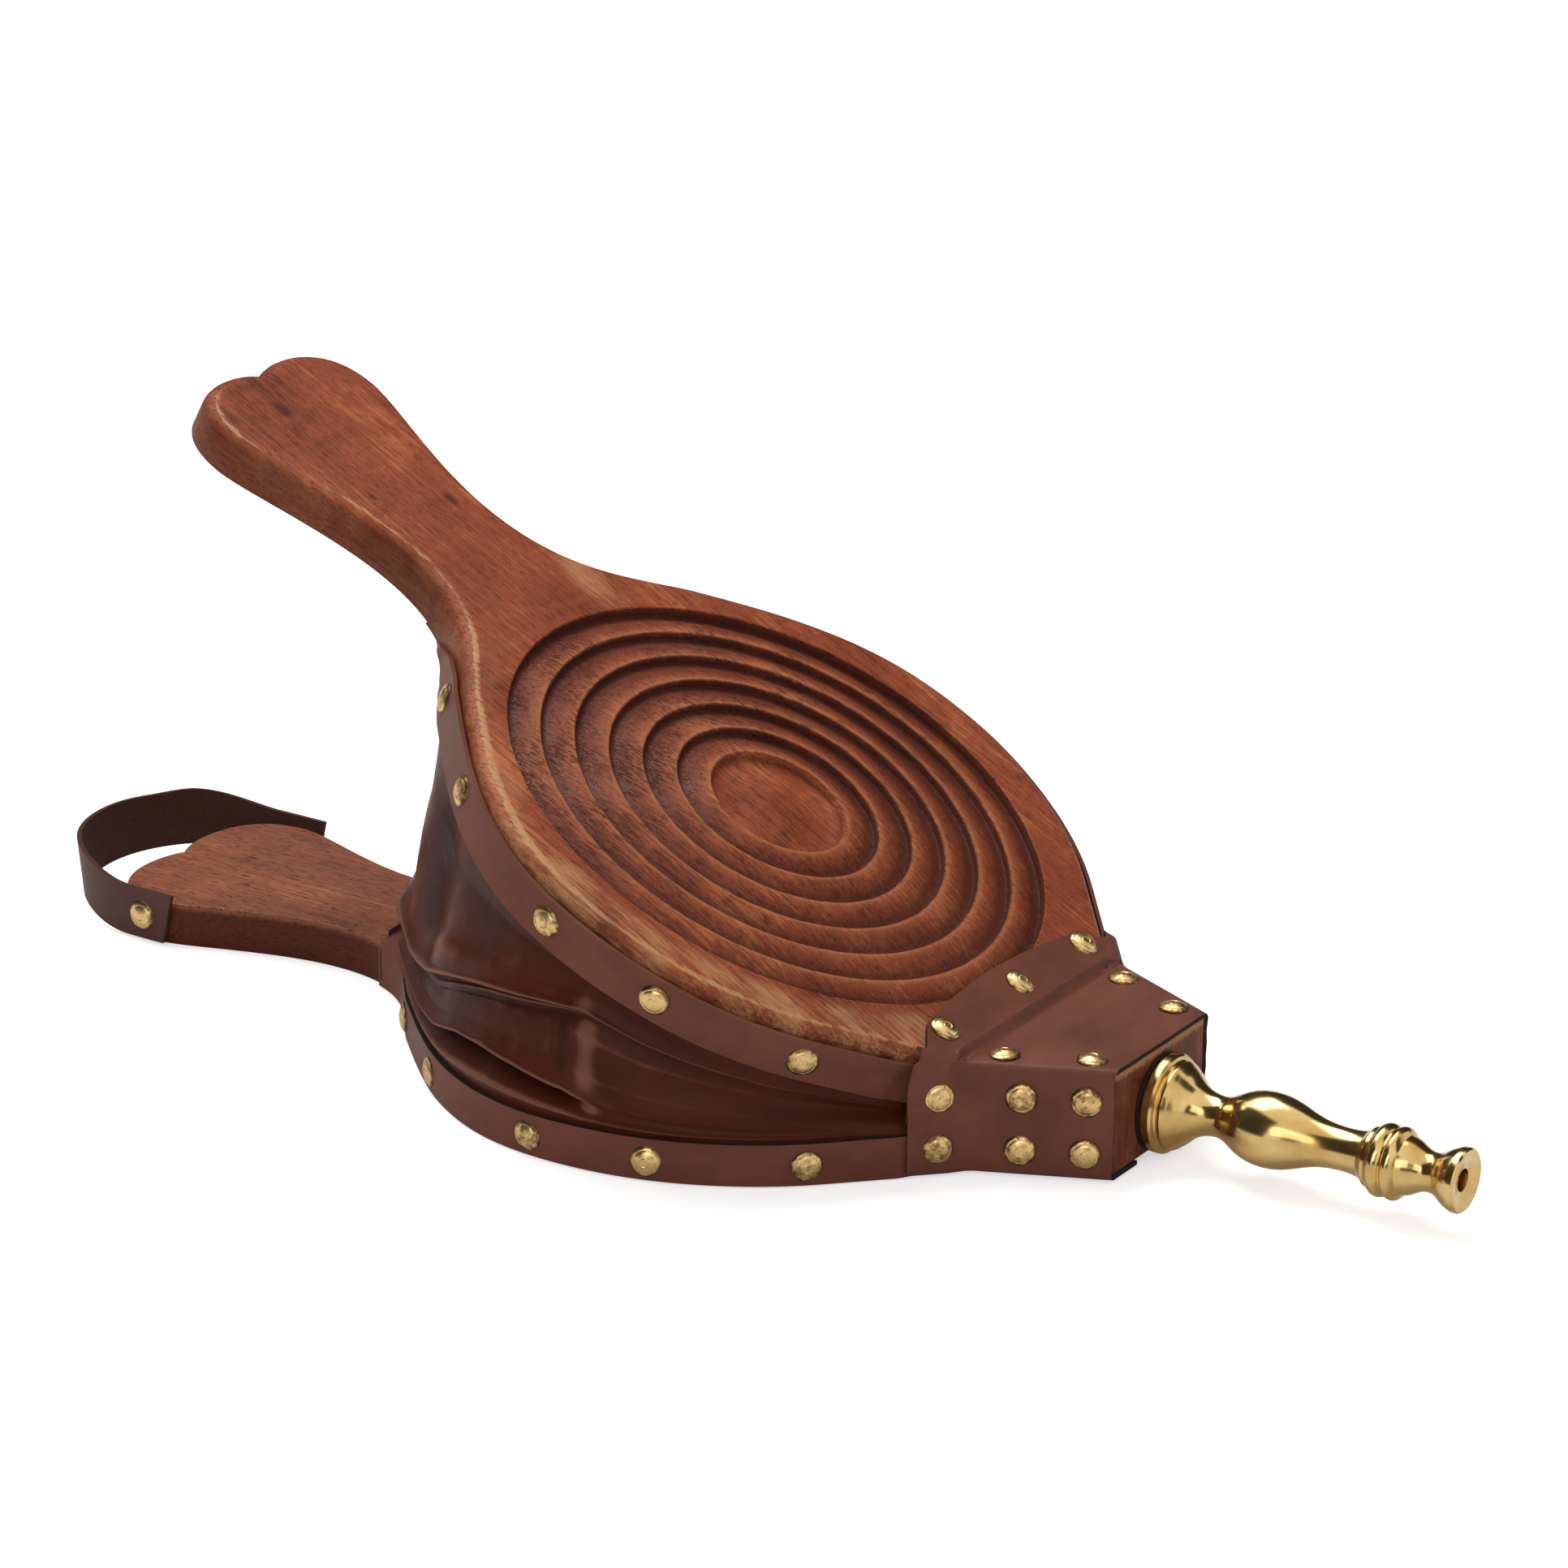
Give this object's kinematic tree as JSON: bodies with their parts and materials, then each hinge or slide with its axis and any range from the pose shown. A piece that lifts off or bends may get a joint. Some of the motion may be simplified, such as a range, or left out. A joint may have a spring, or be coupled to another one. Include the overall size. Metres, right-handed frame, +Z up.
{
  "type": "hand bellows",
  "caption": "Paddle-shaped hand bellows: hinged carved wooden boards with a pleated leather gusset, tacked leather bands, a turned brass nozzle and a hanging strap.",
  "frame": {"origin": "centre of the air intake hole at the flat underside of the bottom board, under the centre of the round body", "axes": "+X towards the nozzle, +Y to the left seen from the handles, +Z up from the bottom board to the upper board"},
  "size_m": [0.4931, 0.2184, 0.1837],
  "materials": {
    "stained_wood": "mahogany-stained hardwood, oiled and worn along its edges",
    "brown_leather": "smooth brown harness leather with a soft sheen",
    "gusset_leather": "thin dark leather, shiny and creased",
    "strap_leather": "brown strap leather",
    "valve_leather": "plain undyed leather",
    "black_leather": "black leather washer",
    "turned_brass": "turned and polished",
    "tack_brass": "domed, aged, with dark tarnish",
    "steel": "plain wood screws"
  },
  "bodies": {
    "base": {"bottom_board": "stained_wood", "nose_block": "stained_wood", "block_screws": "steel", "nozzle": "turned_brass", "nozzle_washer": "black_leather", "nose_wrap": "brown_leather", "wrap_side_tacks_left": "tack_brass", "wrap_side_tacks_right": "tack_brass", "wrap_top_tacks": "tack_brass", "wrap_bottom_tacks": "tack_brass", "lower_band": "brown_leather", "lower_band_tacks_left": "tack_brass", "lower_band_tacks_right": "tack_brass", "gusset": "gusset_leather", "valve_hem": "valve_leather", "valve_tacks": "tack_brass", "strap_tacks": "tack_brass"},
    "upper_board": {"top_board": "stained_wood", "upper_band": "brown_leather", "upper_band_tacks_left": "tack_brass", "upper_band_tacks_right": "tack_brass", "hinge_strip": "brown_leather", "hinge_tacks": "tack_brass"},
    "valve": {"valve_flap": "valve_leather"},
    "strap": {"hanging_strap": "strap_leather"}
  },
  "joints": [
    {"name": "board_hinge", "type": "hinge", "parent": "base", "child": "upper_board", "pos_m": [0.10349, 0, 0.0354], "axis": [0, 1, 0], "range_deg": [-24, 4], "deforming": ["gusset"]},
    {"name": "valve_hinge", "type": "hinge", "parent": "base", "child": "valve", "pos_m": [0.02215, 0, 0.015], "axis": [0, 1, 0], "range_deg": [0, 12]},
    {"name": "strap_swing", "type": "hinge", "parent": "base", "child": "strap", "pos_m": [-0.203, 0, 0.0086], "axis": [0, 1, 0], "range_deg": [0, 45]}
  ]
}
